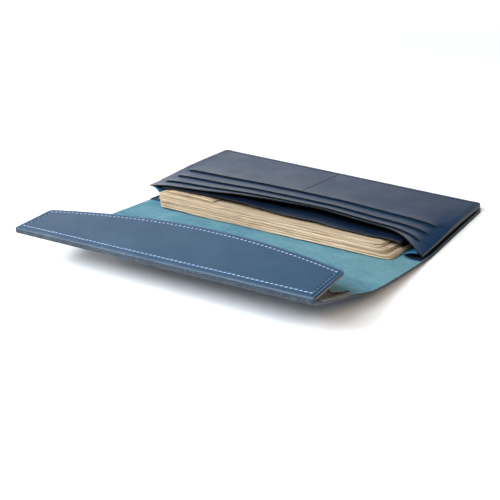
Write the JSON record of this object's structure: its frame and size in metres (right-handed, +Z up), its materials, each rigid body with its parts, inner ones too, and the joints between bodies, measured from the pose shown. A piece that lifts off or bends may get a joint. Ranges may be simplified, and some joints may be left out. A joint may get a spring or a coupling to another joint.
{
  "type": "long wallet",
  "caption": "Long leather wallet lying open: a sewn body with notes, divider and stepped card pockets, and an outer leather that rises as spine and flap with a stitched coin-pocket strip.",
  "frame": {"origin": "centre of the body's resting face, under the middle of the card panel", "axes": "+X along the wallet's length, towards the end at the viewer's right when the flap is nearest; +Y from the flap towards the sewn edge of the body; +Z up"},
  "size_m": [0.196, 0.2135, 0.0365],
  "materials": {
    "navy_leather": "satin",
    "strip_leather": "satin",
    "teal_suede": "matte",
    "taupe_lining": "matte",
    "gusset_leather": "satin",
    "blue_thread": "matte",
    "navy_thread": "matte",
    "dark_thread": "matte",
    "paper": "matte"
  },
  "bodies": {
    "body": {"outer_back": "navy_leather", "body_gusset_left": "gusset_leather", "body_gusset_right": "gusset_leather", "note_bundle_1": "paper", "note_bundle_2": "paper", "note_bundle_3": "paper", "paper_slip": "paper", "rear_welt": "navy_leather"},
    "spine": {"spine_leather": "teal_suede"},
    "flap": {"flap_leather": "teal_suede", "gusset_tack_left": "dark_thread", "gusset_tack_right": "dark_thread"},
    "strip": {"front_fold": "strip_leather", "strip_panel": "strip_leather", "strip_lining": "taupe_lining", "strip_stitching": "blue_thread", "strip_gusset_left": "taupe_lining", "strip_gusset_right": "taupe_lining"},
    "divider": {"divider": "navy_leather"},
    "card_panel": {"card_backing": "navy_leather", "card_pocket_left_1": "navy_leather", "card_pocket_left_2": "navy_leather", "card_pocket_left_3": "navy_leather", "card_pocket_right_1": "navy_leather", "card_pocket_right_2": "navy_leather", "card_pocket_right_3": "navy_leather", "centre_seam_stitching": "navy_thread", "panel_edge_stitching": "navy_thread"}
  },
  "joints": [
    {"name": "spine_fold", "type": "hinge", "parent": "body", "child": "spine", "pos_m": [0, -0.0595, 0.00472], "axis": [-1, 0, -0.0052], "range_deg": [0, 82]},
    {"name": "flap_fold", "type": "hinge", "parent": "spine", "child": "flap", "pos_m": [0, -0.0875, 0.00829], "axis": [-0.9999, 0, -0.0109], "range_deg": [0, 86]},
    {"name": "strip_fold", "type": "hinge", "parent": "flap", "child": "strip", "pos_m": [0, -0.165, 0.02967], "axis": [-0.9996, 0, -0.0267], "range_deg": [0, 15.5], "deforming": ["strip_gusset_left", "strip_gusset_right"]},
    {"name": "divider_lift", "type": "hinge", "parent": "body", "child": "divider", "pos_m": [0, 0.046, 0.0047], "axis": [-1, 0, 0], "range_deg": [0, 1.75]},
    {"name": "panel_lift", "type": "hinge", "parent": "body", "child": "card_panel", "pos_m": [0, 0.046, 0.0047], "axis": [-1, 0, 0], "range_deg": [0, 3.5], "deforming": ["body_gusset_left", "body_gusset_right"]}
  ],
  "couplings": [
    {"joint": "flap_fold", "follows": "spine_fold", "ratio": 1.0488},
    {"joint": "strip_fold", "follows": "spine_fold", "ratio": 0.18902},
    {"joint": "divider_lift", "follows": "panel_lift", "ratio": 0.5}
  ]
}
